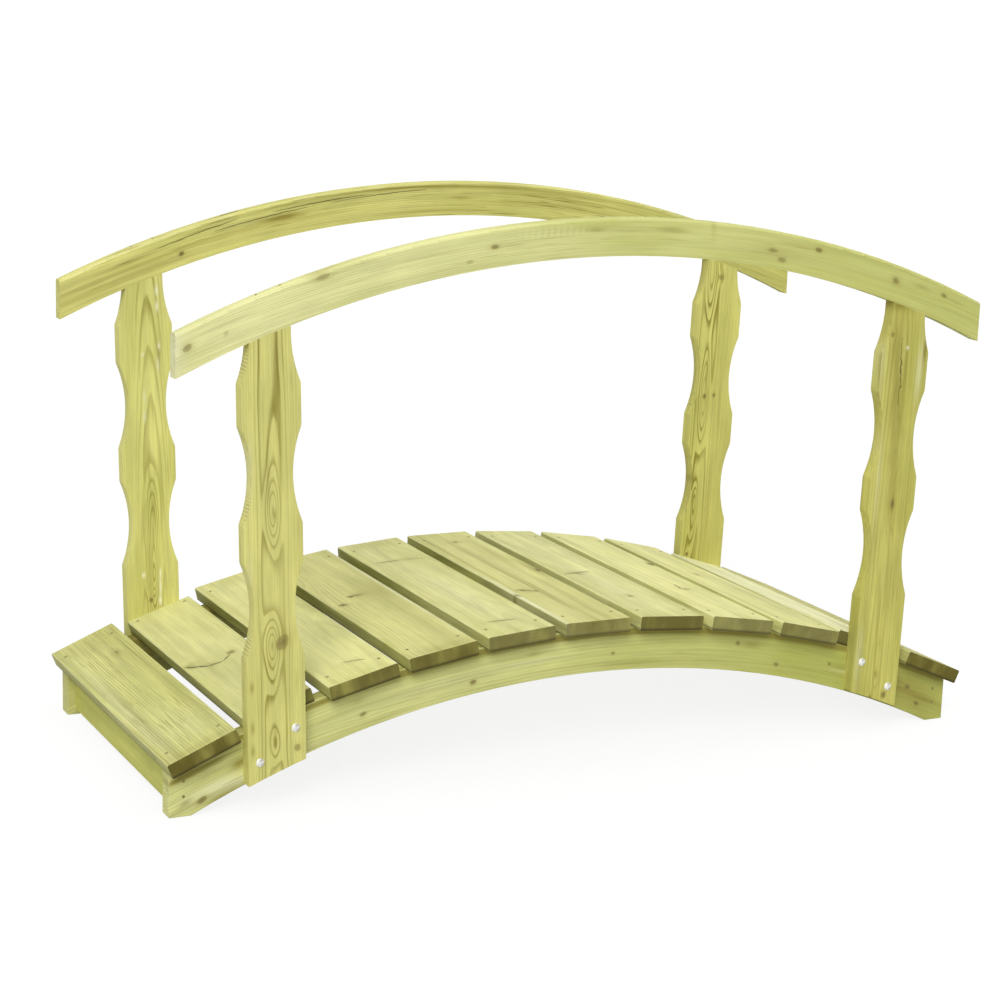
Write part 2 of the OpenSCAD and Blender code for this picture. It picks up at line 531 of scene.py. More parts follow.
off_y = from_pith(across, pith_y, slope_y, noise(seeded, (1.3, 5.0, 5.0), 1.5))
off_z = from_pith(through, pith_z, slope_z,
                  noise(seeded + (9.1, 4.7, 2.3), (1.9, 4.0, 4.0), 1.5))
radius = calc("SQRT", off_y * off_y + off_z * off_z)
unsteady = noise(seeded, (5.0, 70.0, 70.0), 2.0) * 0.55
good_years = noise(pack(radius, 0.0, 0.0), (90.0, 1.0, 1.0), 1.0) * 0.8
year = radius / pine["Ring"] + (unsteady + good_years)
season = calc("FRACT", year)
late = rise(season, 0.45, 0.86) * rise(season, 1.0, 0.88)
year_mark = pack(calc("FLOOR", year) * 0.731, 0.0, 0.0)
strong_year = rise(noise(year_mark, (1.0, 1.0, 1.0), 0.0), 0.25, 0.65)
fading = rise(noise(seeded + (3.0, 8.0, 1.0), (3.0, 24.0, 24.0), 2.0), 0.34, 0.60)
late = late * (strong_year * 0.6 + 0.4) * (fading * 0.6 + 0.4)
late = late * (1.0 - rise(abs(across - pith_y), 0.014, 0.034) * pine["Figure"])

fibre = noise(seeded, (6.0, 420.0, 420.0), 3.0, 0.6)
streak = noise(seeded, (1.4, 62.0, 62.0), 2.0, 0.6)
cloud = noise(seeded, (3.4, 15.0, 15.0), 3.0)
dash = rise(noise(seeded, (11.0, 400.0, 60.0), 1.0), 0.58, 0.72) * rise(
    noise(seeded + (2.0, 6.0, 9.0), (4.0, 20.0, 20.0)), 0.42, 0.60)
print("rings and fibres take", len(pine_group.nodes), "nodes")

# %% [markdown]
# The colour is built from the bottom up, in the order in which the timber got it: the
# rings first, then the preservative, which goes deepest round the rim of a deck board, and
# the stains. Some of the soak and some of the stains are painted shade.
#
# Two small things make it read as timber from close by: short dark dashes, which are resin
# ducts that the saw has opened, and pale combs of torn fibres where a saw has crossed a
# curve.

# %% Make the pine group: colour of the faces
wood = mix(late * pine["Rings"], pine["Pale"], pine["Dark"])
blotch = noise(seeded, (9.0, 26.0, 26.0), 3.0, 0.6) - 0.5
long_tone = (noise(seeded, (1.1, 9.0, 9.0), 2.0) - 0.5) * 0.30 + 1.0
wood = toned(wood, long_tone + blotch * 0.36)
# The soak is the preservative; on the near beam it is also painted shade towards the right end.
soak_and_shade = clamped(rise(cloud, 0.38, 0.68) * pine["Patches"] + pine["Soak"])
wood = mix(soak_and_shade, wood, pine["Green"])
on_deck = rise(pine["Sides"], 0.0, 0.3)
near_rim = calc("MAXIMUM", rise(abs(across), 0.040, 0.068), rise(abs(along), 0.300, 0.368))
damp = rise(noise(seeded, (7.0, 34.0, 34.0), 3.0, 0.6), 0.40, 0.62)
wood = mix(near_rim * on_deck * damp * 0.40, wood, pine["Green"])
dark_streak = rise(noise(seeded + (5.0, 2.0, 7.0), (1.0, 46.0, 46.0), 2.5, 0.55), 0.56, 0.72)
wood = mix(dark_streak * pine["Streaks"], wood, pine["Dark"])
# Stains darken towards the dark band; some of them are painted shade under the deck boards,
# under a rail and round the screw heads.
wood = mix(clamped(pine["Stain"] * (streak * 1.1 + 0.45)), wood, pine["Dark"])
wood = mix(clamped(pine["Bare"] * 1.0), wood, paint(240, 238, 200))
wood = mix(dash * pine["Dashes"], wood, pine["Dark"])
facing_x, facing_y, facing_z = split(pine["Facing"])
torn_line = rise(calc("SINE", along * 1150.0 + (across + blotch * 0.02) * 700.0), -0.2, 0.8)
torn_wood = mix(torn_line, paint(150, 140, 70), paint(232, 229, 168))
torn_side = rise(abs(facing_y), 0.3, 0.8) * 0.7 + rise(cloud, 0.40, 0.60) * 0.3
wood = mix(clamped(pine["Torn"] * torn_side), wood, torn_wood)
lines = (fibre - 0.5) * 0.55 + (streak - 0.5) * 0.50
wood = toned(wood, lines * pine["Fibre"] + 1.0)
print("with its faces coloured it takes", len(pine_group.nodes), "nodes")

# %% [markdown]
# Over the faces come the knots, and then the ends and edges. Sawn ends drink more
# preservative than planed faces, so they are darker. The sides of the deck boards get
# painted shade, as in the narrow gaps between them, and a thin line of painted shade runs
# along the lower edge of their sides and ends. Last come the cracks, and a painted
# highlight along the rounded corners.

# %% Make the pine group: knots, ends and corners
heart = pine["Heart"]
in_knot = rise(heart, 1.12, 0.86)
knot_rings = (calc("SINE", heart * 16.0) + 1.0) * 0.18
knot_wood = mix(rise(heart, 0.05, 1.0), paint(104, 92, 52), paint(156, 140, 74))
knot_wood = mix(knot_rings, knot_wood, paint(74, 64, 32))
beside = calc("EXPONENT", calc("MAXIMUM", heart - 1.0, 0.0) * -1.8) * 0.5
wood = mix(beside * pine["Darkness"], wood, pine["Dark"])
wood = mix(in_knot * pine["Darkness"], wood, knot_wood)

sawn_end = rise(abs(facing_x), 0.55, 0.95) * pine["Ends"]
end_stain = mix(rise(noise(seeded, (9.0, 26.0, 10.0), 2.0, 0.5), 0.40, 0.80),
                paint(98, 90, 28), paint(148, 142, 68))
wood = mix(sawn_end, wood, mix(late * 0.25, end_stain, paint(74, 66, 22)))
# Painted shade on the sides of the deck boards, as in the narrow gaps between them, deepest
# towards the far end.
on_side = rise(abs(facing_y), 0.80, 0.97)
towards_far_end = rise(along, 0.20, -0.15) * 0.5 + 0.5
side_shade = mix(rise(noise(seeded, (5.0, 30.0, 60.0), 3.0, 0.6), 0.36, 0.70),
                 paint(126, 126, 52), paint(172, 172, 90))
wood = mix(clamped(on_side * pine["Sides"] * towards_far_end), wood, side_shade)
# A thin line of painted shade along the lower edge of the sides and ends of each deck board.
board_sides_and_ends = calc("MAXIMUM", on_side, sawn_end) * on_deck
gap_shade_line = clamped(rise(through, -0.0068, -0.0122) * board_sides_and_ends)
wood = mix(gap_shade_line * 0.85, wood, paint(64, 58, 20))

wood = mix(pine["Cleft"], wood, paint(66, 58, 24))
# Painted highlight along the rounded corners, broken up by a noise; it also makes them a little
# less rough.
tilt = abs(facing_z)
corner = rise(tilt, 0.15, 0.40) * rise(tilt, 0.985, 0.90)
edge_highlight = corner * rise(noise(seeded, (14.0, 40.0, 40.0), 2.0), 0.30, 0.62) * pine["Wear"]
wood = mix(edge_highlight, wood, paint(232, 231, 184))
print("with all its colours it takes", len(pine_group.nodes), "nodes")

# %% [markdown]
# Sawn softwood is dull, with a faint sheen along the hard dark bands, so the roughness
# stays high and drops a little there. The relief is small but it matters: raised fibres,
# bands that stand up where the planer pressed the soft wood down, open cracks, and the
# ripple that a planer leaves where the board was fed too fast.

# %% Make the pine group: sheen and relief
sheen = fibre * 0.16 + 0.60 - late * 0.08 - edge_highlight * 0.10
ripple = calc("SINE", along * 490.0 + ((across - 0.1) * 26.0) ** 2.0)
relief = fibre * 0.55 + late * 0.25 + streak * 0.35 + ripple * pine["Chatter"]
relief = relief - in_knot * 0.3 - pine["Cleft"] * 1.2
give_out(pine_out, Colour=wood, Roughness=clamped(sheen + sawn_end * 0.12), Height=relief)

# %% [markdown]
# ## Finishing a piece of timber
#
# Every piece gets a material of its own, because no two boards come from the same place in
# a tree. The recipe is always the same: read the point in the board's frame, pass it
# through the board's own marks, hand it to the pine group, and give the result to the
# shader. In the curved pieces the grain follows the curve, as in a plank sawn from a bowed
# log, so their frame is bent first.
#
# Marks are given in millimetres from the middle of the piece, along the grain and then
# across it. After that a knot has its size, and often its length, tone, lean and pull. A
# swelling has its length, width and height. A stain, a patch of painted shade or any other
# patch has its length, width and strength. A crack has its two ends, its width and
# sometimes its unrest. The names with a capital are inputs of the pine group. Pith is the
# middle of the tree, Slope is how far the board leans from it, and Ring is the width of a
# year, all in metres.

# %% Helpers for the recipe
def darker(colour, red, green, blue):
    """A colour with less of each light, such as the dark band that goes with a pale one."""
    return (colour[0] * red, colour[1] * green, colour[2] * blue, 1.0)


def in_frame(source, place, turn):
    """A place or a direction as it is seen from the piece's own frame."""
    return out_of(add_node(source.tree, "Mapping", source, place, turn.to_euler("XYZ"),
                           vector_type="TEXTURE"))


def finish_surface(tree, colour, roughness, height, strength, depth, **fixed):
    """Hands colour, roughness and relief to the shader. What is fixed is set on it."""
    bump = add_node(tree, "Bump")
    for label, value in (("Strength", strength), ("Distance", depth), ("Height", height)):
        join(value, bump.inputs[label])
    shader = add_node(tree, "BsdfPrincipled")
    for label, value in {"Base Color": colour, "Roughness": roughness, "Normal": out_of(bump),
                         **fixed}.items():
        join(value, shader.inputs[label])
    add_node(tree, "OutputMaterial", out_of(shader))


sliver = 0.00002


def soften_edges(name, width):
    """Rounds the sharp edges of a piece, in millimetres, without touching its mesh."""
    weld = timber[name].modifiers.new("weld", "WELD")
    weld.merge_threshold = sliver
    ease = timber[name].modifiers.new("eased_edges", "BEVEL")
    ease.width = width / 1000
    ease.segments = 3
    ease.limit_method = "ANGLE"
    ease.angle_limit = math.radians(40)
    ease.harden_normals = True


dark_share, green_share = (0.42, 0.37, 0.19), (0.66, 0.68, 0.42)
dark_band = darker(paint(214, 210, 140), *dark_share)
print("the dark band of a pale pine sends back", [round(v, 2) for v in dark_band[:3]])

# %% Write the recipe
plain_look = dict(Wander=0.03, Fibre=0.72, Streaks=0.15, Patches=0.25, Ends=0.95,
                  Wear=0.35, Dashes=0.2)
plain_knot = dict(Length=1.3, Tone=0.8, Lean=0.0, Pull=0.93)
plain_unrest = 16
far_from_knots = 50.0
relief_strength, relief_depth = 0.6, 0.0009
screw_along, screw_across = 320, 52
# The size of the painted shade round each screw head, as in its countersunk recess.
screw_shade_patch = dict(Length=0.006, Width=0.005, Strength=0.25)
pick = random.Random(11)


def finish_timber(name, tint, bow=0.0, fade=None, knots=(), swellings=(), cracks=(),
                  stains=(), bare=(), chatter=(), torn=(), screwed=False, **look):
    """Gives a piece its wood. The tint is the pale wood, from 0 to 255, and bow is 1 over
    the radius of a curved piece. From fade[0] to fade[1] the wood deepens to green: the
    preservative, and on the near beam also painted shade."""
    material, tree = new_finish(name + "_pine")
    place, turn = grain_frame(name)
    straight = in_frame(out_of(add_node(tree, "TexCoord"), "Object"), place, turn)
    facing = in_frame(out_of(add_node(tree, "NewGeometry"), "Normal"), (0, 0, 0), turn)
    if bow:
        x, y, z = split(straight)
        straight = pack(x, y + x * x * (bow / 2), z)

    def mark(along, across, **sizes):
        """A mark's place and sizes in metres, on the straightened grain."""
        along, across = along / 1000, across / 1000
        return dict(Along=along, Across=across + bow * along ** 2 / 2,
                    **{label: size / 1000 for label, size in sizes.items()})

    def patches(total, marks):
        for along, across, length, width, strength in marks:
            total = use_group(soft_patch_group, Point=straight, Total=total, Strength=strength,
                              **mark(along, across, Length=length, Width=width))["Total"]
        return total

    point, heart, darkness = straight, far_from_knots, 0.0
    for along, across, length, width, height in swellings:
        point = use_group(swelling_group, Point=point, **mark(
            along, across, Length=length, Width=width, Height=height))["Point"]
    for along, across, size, *shape in knots:
        met = use_group(knot_group, Point=point, Heart=heart, Darkness=darkness,
                        **mark(along, across, Radius=size),
                        **{**plain_knot, **dict(zip(plain_knot, shape))})
        point, heart, darkness = met["Point"], met["Heart"], met["Darkness"]

    screw_shade, cleft = 0.0, 0.0
    # Painted shade round each screw head, as in its countersunk recess.
    if screwed:
        x, y, z = split(straight)
        screw_shade = use_group(soft_patch_group, Point=pack(abs(x), abs(y), z), Total=0.0,
                           Along=screw_along / 1000, Across=screw_across / 1000,
                           **screw_shade_patch)["Total"]
    # A crack with no unrest of its own gets the plain one.
    for *ends, width, unrest in [(*crack, plain_unrest)[:6] for crack in cracks]:
        start, end = mark(*ends[:2]), mark(*ends[2:])
        cleft = use_group(crack_group, Point=straight, Total=cleft, Width=width / 1000,
                          Start=(*start.values(), 0.0), End=(*end.values(), 0.0),
                          Unrest=unrest / 1000)["Total"]
    if fade:
        look["Soak"] = rise(split(straight)[0], fade[0] / 1000, fade[1] / 1000) * fade[2]

    pale = paint(*tint)
    look = {**plain_look, "Pale": pale, "Dark": darker(pale, *dark_share),
            "Green": darker(pale, *green_share), **look}
    made = use_group(pine_group, Point=straight, Bent=point, Facing=facing, Heart=heart,
                     Darkness=darkness, Cleft=cleft, Stain=patches(screw_shade, stains),
                     Bare=patches(0.0, bare), Chatter=patches(0.0, chatter),
                     Torn=patches(0.0, torn), **look)
    finish_surface(tree, made["Colour"], made["Roughness"], made["Height"],
                   relief_strength, relief_depth, **{"Specular IOR Level": 0.32})
    timber[name].data.materials.clear()
    timber[name].data.materials.append(material)


def finish_set(looks, edge, **shared):
    """Finishes pieces of one kind, each with its own look and its own seed."""
    for name, look in looks.items():
        seed = tuple(round(pick.uniform(-20, 20), 2) for _ in range(3))
        finish_timber(name, Seed=seed, **{**shared, **look})
        soften_edges(name, edge)
    print("finished:", ", ".join(looks))


print("a plain look has", ", ".join(plain_look))

# %% [markdown]
# ## The deck boards
#
# Eleven planed boards lie across the beams. Seen from the path they differ most in colour:
# the first and the last have soaked up much preservative, and those past the top of the
# arch are bleached.
# Each gets its own tint, its own place in the log and its own knots and cracks. A pith far
# to one side gives straight lines, and one right under the board gives arches. The ends
# are the darkest part of every board, and the sides get painted shade, as in the gaps
# between the boards, most of all on the first six.

# %% Finish the first six boards
finish_set({
    "deck_board_01": dict(
        tint=(212, 211, 136), Pith=(0, 0.13, -0.03), Slope=(0, 0.02, 0), Ring=0.0052, Rings=0.5,
        Streaks=0.45, Fibre=1.3, Patches=0.3, Dashes=0.7, Sides=0.5, Ends=1,
        knots=[(-215, 28, 3.5, 2, 0.5)],
        stains=[(356, 0, 16, 90, 0.3), (-330, 20, 60, 70, 0.32), (-180, 30, 140, 40, 0.2),
                (-215, 28, 30, 9, 0.35), (120, 50, 160, 12, 0.25)],
        bare=[(60, -50, 260, 14, 0.22), (250, 10, 80, 40, 0.14)]),
    "deck_board_02": dict(
        tint=(219, 217, 149), Pith=(0, 0.09, -0.05), Slope=(0, 0.07, 0), Ring=0.0042, Rings=0.26,
        knots=[(32, 25, 8, 1.1, 0.6, 0, 0.6)], swellings=[(32, 25, 60, 22, 6)],
        cracks=[(9, -66, 53, -29, 2.4), (50, -30, 58, -2, 1.8), (58, -2, 38, 20, 1.2)],
        stains=[(14, -54, 14, 14, 0.45), (50, -24, 16, 12, 0.35), (-200, 30, 120, 10, 0.16)]),
    "deck_board_03": dict(
        tint=(226, 224, 153), Pith=(0, 0.05, -0.07), Slope=(0, 0.01, 0.03), Ring=0.005,
        Rings=0.18, cracks=[(279, -5, 302, 36, 1)],
        stains=[(288, 6, 12, 30, 0.18), (-330, 0, 40, 50, 0.2)]),
    "deck_board_04": dict(
        tint=(216, 213, 141), Pith=(0, -0.07, -0.04), Slope=(0, -0.02, 0.01), Ring=0.004,
        Rings=0.32, Streaks=0.3, knots=[(-6, -46, 4, 1.3, 0.7), (-40, -14, 4, 1.3, 0.7)],
        cracks=[(-8, -58, 0, -36, 1.7), (-47, -22, -36, 10, 1.7)],
        stains=[(-42, 4, 14, 16, 0.35), (-2, -44, 12, 14, 0.35), (-30, 42, 60, 28, 0.26),
                (200, 40, 160, 12, 0.14), (356, 0, 20, 70, 0.28), (-300, -30, 60, 20, 0.25)],
        bare=[(-40, 65, 300, 4, 0.6)]),
    "deck_board_05": dict(
        tint=(222, 220, 152), Pith=(0, 0.02, -0.09), Slope=(0, 0, 0.03), Ring=0.006, Rings=0.16,
        Ends=0.85,
        cracks=[(-209, -48, -204, 4, 1.2), (-200, 14, -190, 56, 0.8), (280, -30, 293, 26, 1.2)],
        stains=[(-205, 0, 12, 36, 0.3), (-70, 40, 60, 10, 0.18), (284, -12, 10, 26, 0.3),
                (-40, -52, 160, 8, 0.18), (-345, 0, 26, 60, 0.25)],
        bare=[(100, 0, 160, 22, 0.16)]),
    "deck_board_06": dict(
        tint=(218, 215, 144), Pith=(0, 0.1, -0.03), Slope=(0, 0.03, 0.01), Ring=0.0043,
        Rings=0.28, Streaks=0.6, Ends=0.78,
        knots=[(-287, 5, 4, 1.4, 0.6), (120, -38, 4, 1.4, 0.6), (135, -14, 4, 1.2, 0.6),
               (150, -67, 4, 2, 0.45), (-14, 65, 5, 2.6, 0.9, 0, 0.5)],
        cracks=[(114, -52, 137, -12, 1.6), (148, -70, 163, -58, 1.4)],
        stains=[(-287, 8, 14, 18, 0.3), (-30, 60, 60, 8, 0.5), (126, -30, 16, 20, 0.32),
                (-120, -8, 160, 9, 0.26), (80, 30, 180, 8, 0.26), (-200, 40, 140, 8, 0.24)],
        bare=[(200, -65, 190, 5, 0.75)]),
}, edge=0.9, screwed=True, Sides=0.9)

# %% Finish the other five boards
finish_set({
    "deck_board_07": dict(
        tint=(228, 226, 158), Pith=(0, 0.04, -0.1), Slope=(0, 0.02, 0.02), Ring=0.006,
        Rings=0.15, cracks=[(28, -58, 2, 16, 1.6), (19, -30, 34, -10, 1.2)],
        knots=[(211, -6, 4, 1.6, 0.7)],
        stains=[(16, -26, 12, 26, 0.36), (206, -8, 14, 16, 0.3), (180, -60, 120, 5, 0.24),
                (-250, -50, 100, 10, 0.2)], bare=[(120, -8, 120, 18, 0.22)]),
    "deck_board_08": dict(
        tint=(237, 235, 164), Ends=0.82, Pith=(0, -0.06, -0.06), Slope=(0, -0.02, 0.02),
        Ring=0.005, Rings=0.18, knots=[(-106, 60, 5, 2.4, 0.8), (98, 2, 3, 1.3, 0.7)],
        cracks=[(-118, 56, -92, 64, 2), (98, 2, 134, -3, 1.4), (134, -3, 127, 20, 1.5)],
        stains=[(-104, 56, 22, 12, 0.4), (128, 4, 14, 20, 0.3), (0, -40, 160, 8, 0.16)]),
    "deck_board_09": dict(
        tint=(237, 235, 163), Pith=(0, 0.08, -0.05), Slope=(0, 0.03, 0), Ring=0.005, Rings=0.18,
        Streaks=0.35, Ends=0.85, knots=[(-64, -8, 5, 1.6, 0.6)],
        swellings=[(-64, -8, 90, 22, 6)],
        stains=[(-64, -4, 22, 22, 0.28), (200, -50, 140, 5, 0.24), (100, 40, 200, 7, 0.16)]),
    "deck_board_10": dict(
        tint=(250, 249, 195), Pith=(0, 0, -0.12), Slope=(0, 0.02, 0.03), Ring=0.006, Rings=0.12,
        Patches=0.15, stains=[(-160, -33, 60, 9, 0.18), (120, 20, 160, 7, 0.18)]),
    "deck_board_11": dict(
        tint=(210, 207, 136), Ends=1, Pith=(0, 0.11, -0.03), Slope=(0, 0.02, 0), Ring=0.0042,
        Rings=0.36, Streaks=0.3, knots=[(-120, 20, 6)], stains=[(345, 0, 40, 90, 0.35)]),
}, edge=0.9, screwed=True, Sides=0.45)

# %% [markdown]
# ## The arch beams and the risers
#
# The two beams are cut from wide planks and carry everything. They are sawn rather than
# planed, so their grain is softer and cloudier than that of the deck, with small dark
# knots. The near one gets greener and darker from left to right, partly from preservative
# and partly from painted shade, and both carry painted shade under the deck boards. The
# risers, which close the ends under the deck, have soaked up the most preservative of all.

# %% Finish the beams and the risers
beam_bow = 0.5
finish_set({
    "stringer_near": dict(
        # The fade darkens and greens the right end of this beam: partly preservative, partly
        # painted shade under the overhanging boards.
        tint=(222, 223, 146), bow=beam_bow, fade=(-300, 760, 1.1), Pith=(0, 0.2, -0.05),
        Slope=(0, 0.01, 0), Ring=0.006, Rings=0.3, Dashes=0.5, Streaks=0.4, Patches=0.35, Ends=0,
        knots=[(-775, -107, 6, 1.5, 0.7), (-245, 57, 4.5, 1.4, 0.7), (-467, 19, 4, 1.6, 0.6),
               (51, 84, 3, 1.2, 0.6), (331, 77, 4, 1.2, 0.6), (423, 24, 4, 1.4, 0.6),
               (550, 12, 3, 1.3, 0.6), (746, -57, 5, 1.3, 0.7), (771, -95, 5, 1.3, 0.7)],
        # The line at 126 across and the marks at -817, -786, -752 and 765 along are painted
        # shade where the deck boards sit on the beam.
        stains=[(0, 126, 900, 7, 1.7), (-706, -46, 14, 10, 0.5), (-477, 47, 16, 8, 0.3),
                (-121, 99, 16, 6, 0.35), (362, 71, 20, 7, 0.6), (351, 15, 30, 6, 0.3),
                (-700, -80, 90, 7, 0.25), (572, 4, 24, 6, 0.3), (100, 60, 150, 6, 0.22),
                (-330, 50, 120, 7, 0.2), (760, -75, 70, 45, 0.6), (-806, -109, 12, 6, 0.7),
                (-690, -40, 60, 12, 0.45), (-770, -62, 30, 14, 0.3), (-742, -106, 30, 8, 0.8),
                (-700, -92, 26, 8, 0.6), (-640, -40, 50, 6, 0.35), (-817, -62, 24, 7, 1.1),
                (-786, -50, 30, 6, 0.9), (-752, -36, 34, 5, 0.7), (-600, -62, 50, 4, 0.35),
                (650, -20, 80, 6, 0.35), (700, -30, 60, 8, 0.35), (765, -20, 60, 10, 1.1),
                (735, -60, 30, 5, 0.5), (790, -88, 26, 5, 0.6)],
        bare=[(-680, -68, 90, 9, 0.52), (-755, -84, 46, 8, 0.46), (-300, 62, 160, 14, 0.14),
              (-120, 84, 60, 5, 0.2), (600, -12, 40, 4, 0.3)]),
    "stringer_far": dict(
        tint=(208, 207, 132), bow=beam_bow, fade=(-300, 900, 0.4), Pith=(0, -0.02, -0.06),
        Slope=(0, 0.01, 0.01), Ring=0.0058, Rings=0.26, Streaks=0.3, Patches=0.35, Ends=0,
        knots=[(-520, 10, 6), (-160, 70, 5), (260, 60, 6), (640, -10, 5)],
        # Both marks are painted shade: a line under the deck boards, and the dark gap seen
        # between the first two boards.
        stains=[(0, 134, 900, 22, 1), (-620, 40, 110, 90, 1.2)]),
    "riser_left": dict(
        tint=(202, 202, 106), Pith=(0, 0.05, -0.07), Slope=(0, 0.01, 0.02), Ring=0.005,
        Rings=0.12, Streaks=0.25, Patches=0.3, Ends=0.3, knots=[(40, 28, 5, 1.5, 0.5)],
        stains=[(40, 30, 20, 12, 0.4), (-150, -10, 120, 12, 0.2)]),
    "riser_right": dict(
        tint=(202, 200, 116), Pith=(0, -0.04, -0.06), Slope=(0, 0.01, 0.02), Ring=0.005,
        Rings=0.24, Streaks=0.2, Patches=0.3, Ends=0.3, knots=[(90, 5, 7)]),
}, edge=1.4)

# %% [markdown]
# ## The posts
#
# The posts are flat boards with the pith close behind the face, so they show the strongest
# figure of the whole bridge: long spears with eyes in them, and fine lines down both sides.
# Their scallops were cut on a band saw, which leaves pale torn fibres along the curves.

# %% Finish the posts
finish_set({
    "post_near_left": dict(
        tint=(220, 216, 130), Pith=(0, 0.004, -0.0312), Slope=(0, 0.004, 0), Ring=0.0033,
        Figure=0.85, Wander=0.01, Rings=1.5, Streaks=0.04, Patches=0.15, Dashes=0.3,
        swellings=[(88, 3, 58, 14, 11), (140, 0, 190, 15, 8), (-152, 8, 38, 14, 8),
                   (-178, 7, 84, 15, 10), (-338, 4, 36, 10, 8)],
        knots=[(-152, -12, 12, 1.15, 0.62, 0.35, 0.2), (-352, -38, 6, 1.1, 0.5)],
        stains=[(320, -8, 70, 5, 0.55), (180, -14, 70, 3, 0.5), (150, 10, 50, 3, 0.4),
                (81, -1, 9, 3, 0.6), (-318, 4, 16, 4, 0.4), (-229, 47, 10, 4, 0.6),
                (-305, 47, 12, 4, 0.6), (-348, 47, 12, 4, 0.6), (384, 44, 12, 5, 0.6),
                (-190, 12, 8, 3, 0.4)],
        torn=[(345, 44, 34, 8, 0.6), (84, 44, 30, 8, 0.6), (225, 46, 16, 6, 0.4),
              (-165, 46, 30, 8, 0.6), (60, -46, 20, 5, 0.3)],
        bare=[(170, 42, 50, 5, 0.25), (-20, 46, 30, 5, 0.2)]),
    "post_near_right": dict(
        tint=(209, 204, 110), Pith=(0, 0.012, -0.034), Slope=(0, 0.01, -0.004), Ring=0.0036,
        Figure=0.5, Wander=0.02, Rings=0.75, Streaks=0.45, Patches=0.5, Dashes=0.4, Fibre=1,
        swellings=[(8, -3, 60, 9, 7), (-330, 0, 70, 10, 8)],
        knots=[(350, 33, 4.5, 1.2, 0.45), (10, -4, 4.5, 2.4, 0.7), (-393, 8, 4, 1.6, 0.6),
               (-388, -26, 5.5, 1.3, 0.7)],
        # The mark at 412 along is painted shade where the post meets the rail.
        stains=[(330, 20, 80, 17, 0.5), (215, 12, 80, 15, 0.46), (100, 4, 80, 13, 0.4),
                (0, -4, 70, 14, 0.32), (-150, -14, 90, 14, 0.26), (270, -4, 90, 4, 0.4),
                (318, -47, 22, 4, 1.1), (-343, -2, 9, 5, 0.55), (-270, 4, 60, 3, 0.3),
                (412, 0, 12, 60, 0.8), (-380, 20, 40, 20, 0.2)], cracks=[(345, 9, 205, 3, 0.7)],
        bare=[(324, -5, 4, 3.5, 0.8), (280, -38, 60, 7, 0.4), (-300, 44, 60, 8, 0.25),
              (60, 36, 90, 5, 0.2), (300, 52, 60, 8, 0.2)]),
    "post_far_left": dict(
        tint=(222, 219, 134), Pith=(0, -0.004, -0.03), Slope=(0, 0, -0.03), Ring=0.0034,
        Figure=0.85, Wander=0.01, Rings=1.1, Streaks=0.05, Patches=0.4, Dashes=0.3,
        swellings=[(-90, -3, 110, 14, 15), (-260, -3, 150, 15, 18), (-201, -2, 42, 9, 8)],
        knots=[(-252, 5, 4, 1.2, 0.8)],
        stains=[(250, -25, 22, 4, 0.7), (-60, -4, 26, 4, 0.55), (-370, 0, 180, 50, 0.4)],
        bare=[(381, -24, 9, 3, 0.9), (349, -24, 9, 3, 0.9), (270, -26, 6, 2.5, 0.9),
              (232, -23, 14, 2.5, 0.7), (255, 8, 4, 3, 0.8), (170, 7, 12, 2.5, 0.6),
              (129, 8, 10, 2.5, 0.8), (-196, -16, 8, 2, 0.8), (-225, -15, 20, 2.5, 0.9),
              (-255, -14, 8, 3, 0.9), (-198, 20, 5, 3.5, 0.9)]),
    "post_far_right": dict(
        tint=(217, 213, 122), Pith=(0, 0.022, -0.032), Slope=(0, 0, 0.004), Ring=0.0027,
        Figure=0.85, Wander=0.01, Rings=1.6, Streaks=0.2, Patches=0.25, Dashes=0.3,
        swellings=[(400, 24, 130, 15, 15), (105, 22, 110, 12, 13), (-128, 26, 40, 7, 6),
                   (-180, 28, 60, 9, 6)],
        knots=[(372, 1, 6, 1.1, 0.5), (105, 21, 4, 1.4, 0.7), (107, -3, 3.5, 1.3, 0.6),
               (-257, 36, 4, 1.2, 0.8)],
        stains=[(155, 20, 50, 3, 0.6), (-82, 36, 9, 2, 0.7), (-125, 32, 20, 3, 0.7),
                (-195, 31, 22, 3, 0.5), (60, -20, 120, 4, 0.25), (-100, -10, 140, 4, 0.25),
                (-260, -5, 170, 50, 0.3)]),
}, edge=1.2, Ends=0.3, Wear=0.3)

# %% [markdown]
# ## The handrails
#
# The handrails are planed smooth, because hands run along them. The near one is the palest
# timber of the bridge at its left end and turns greener to the right. The far one is
# browner, with long dark streaks that follow the curve.

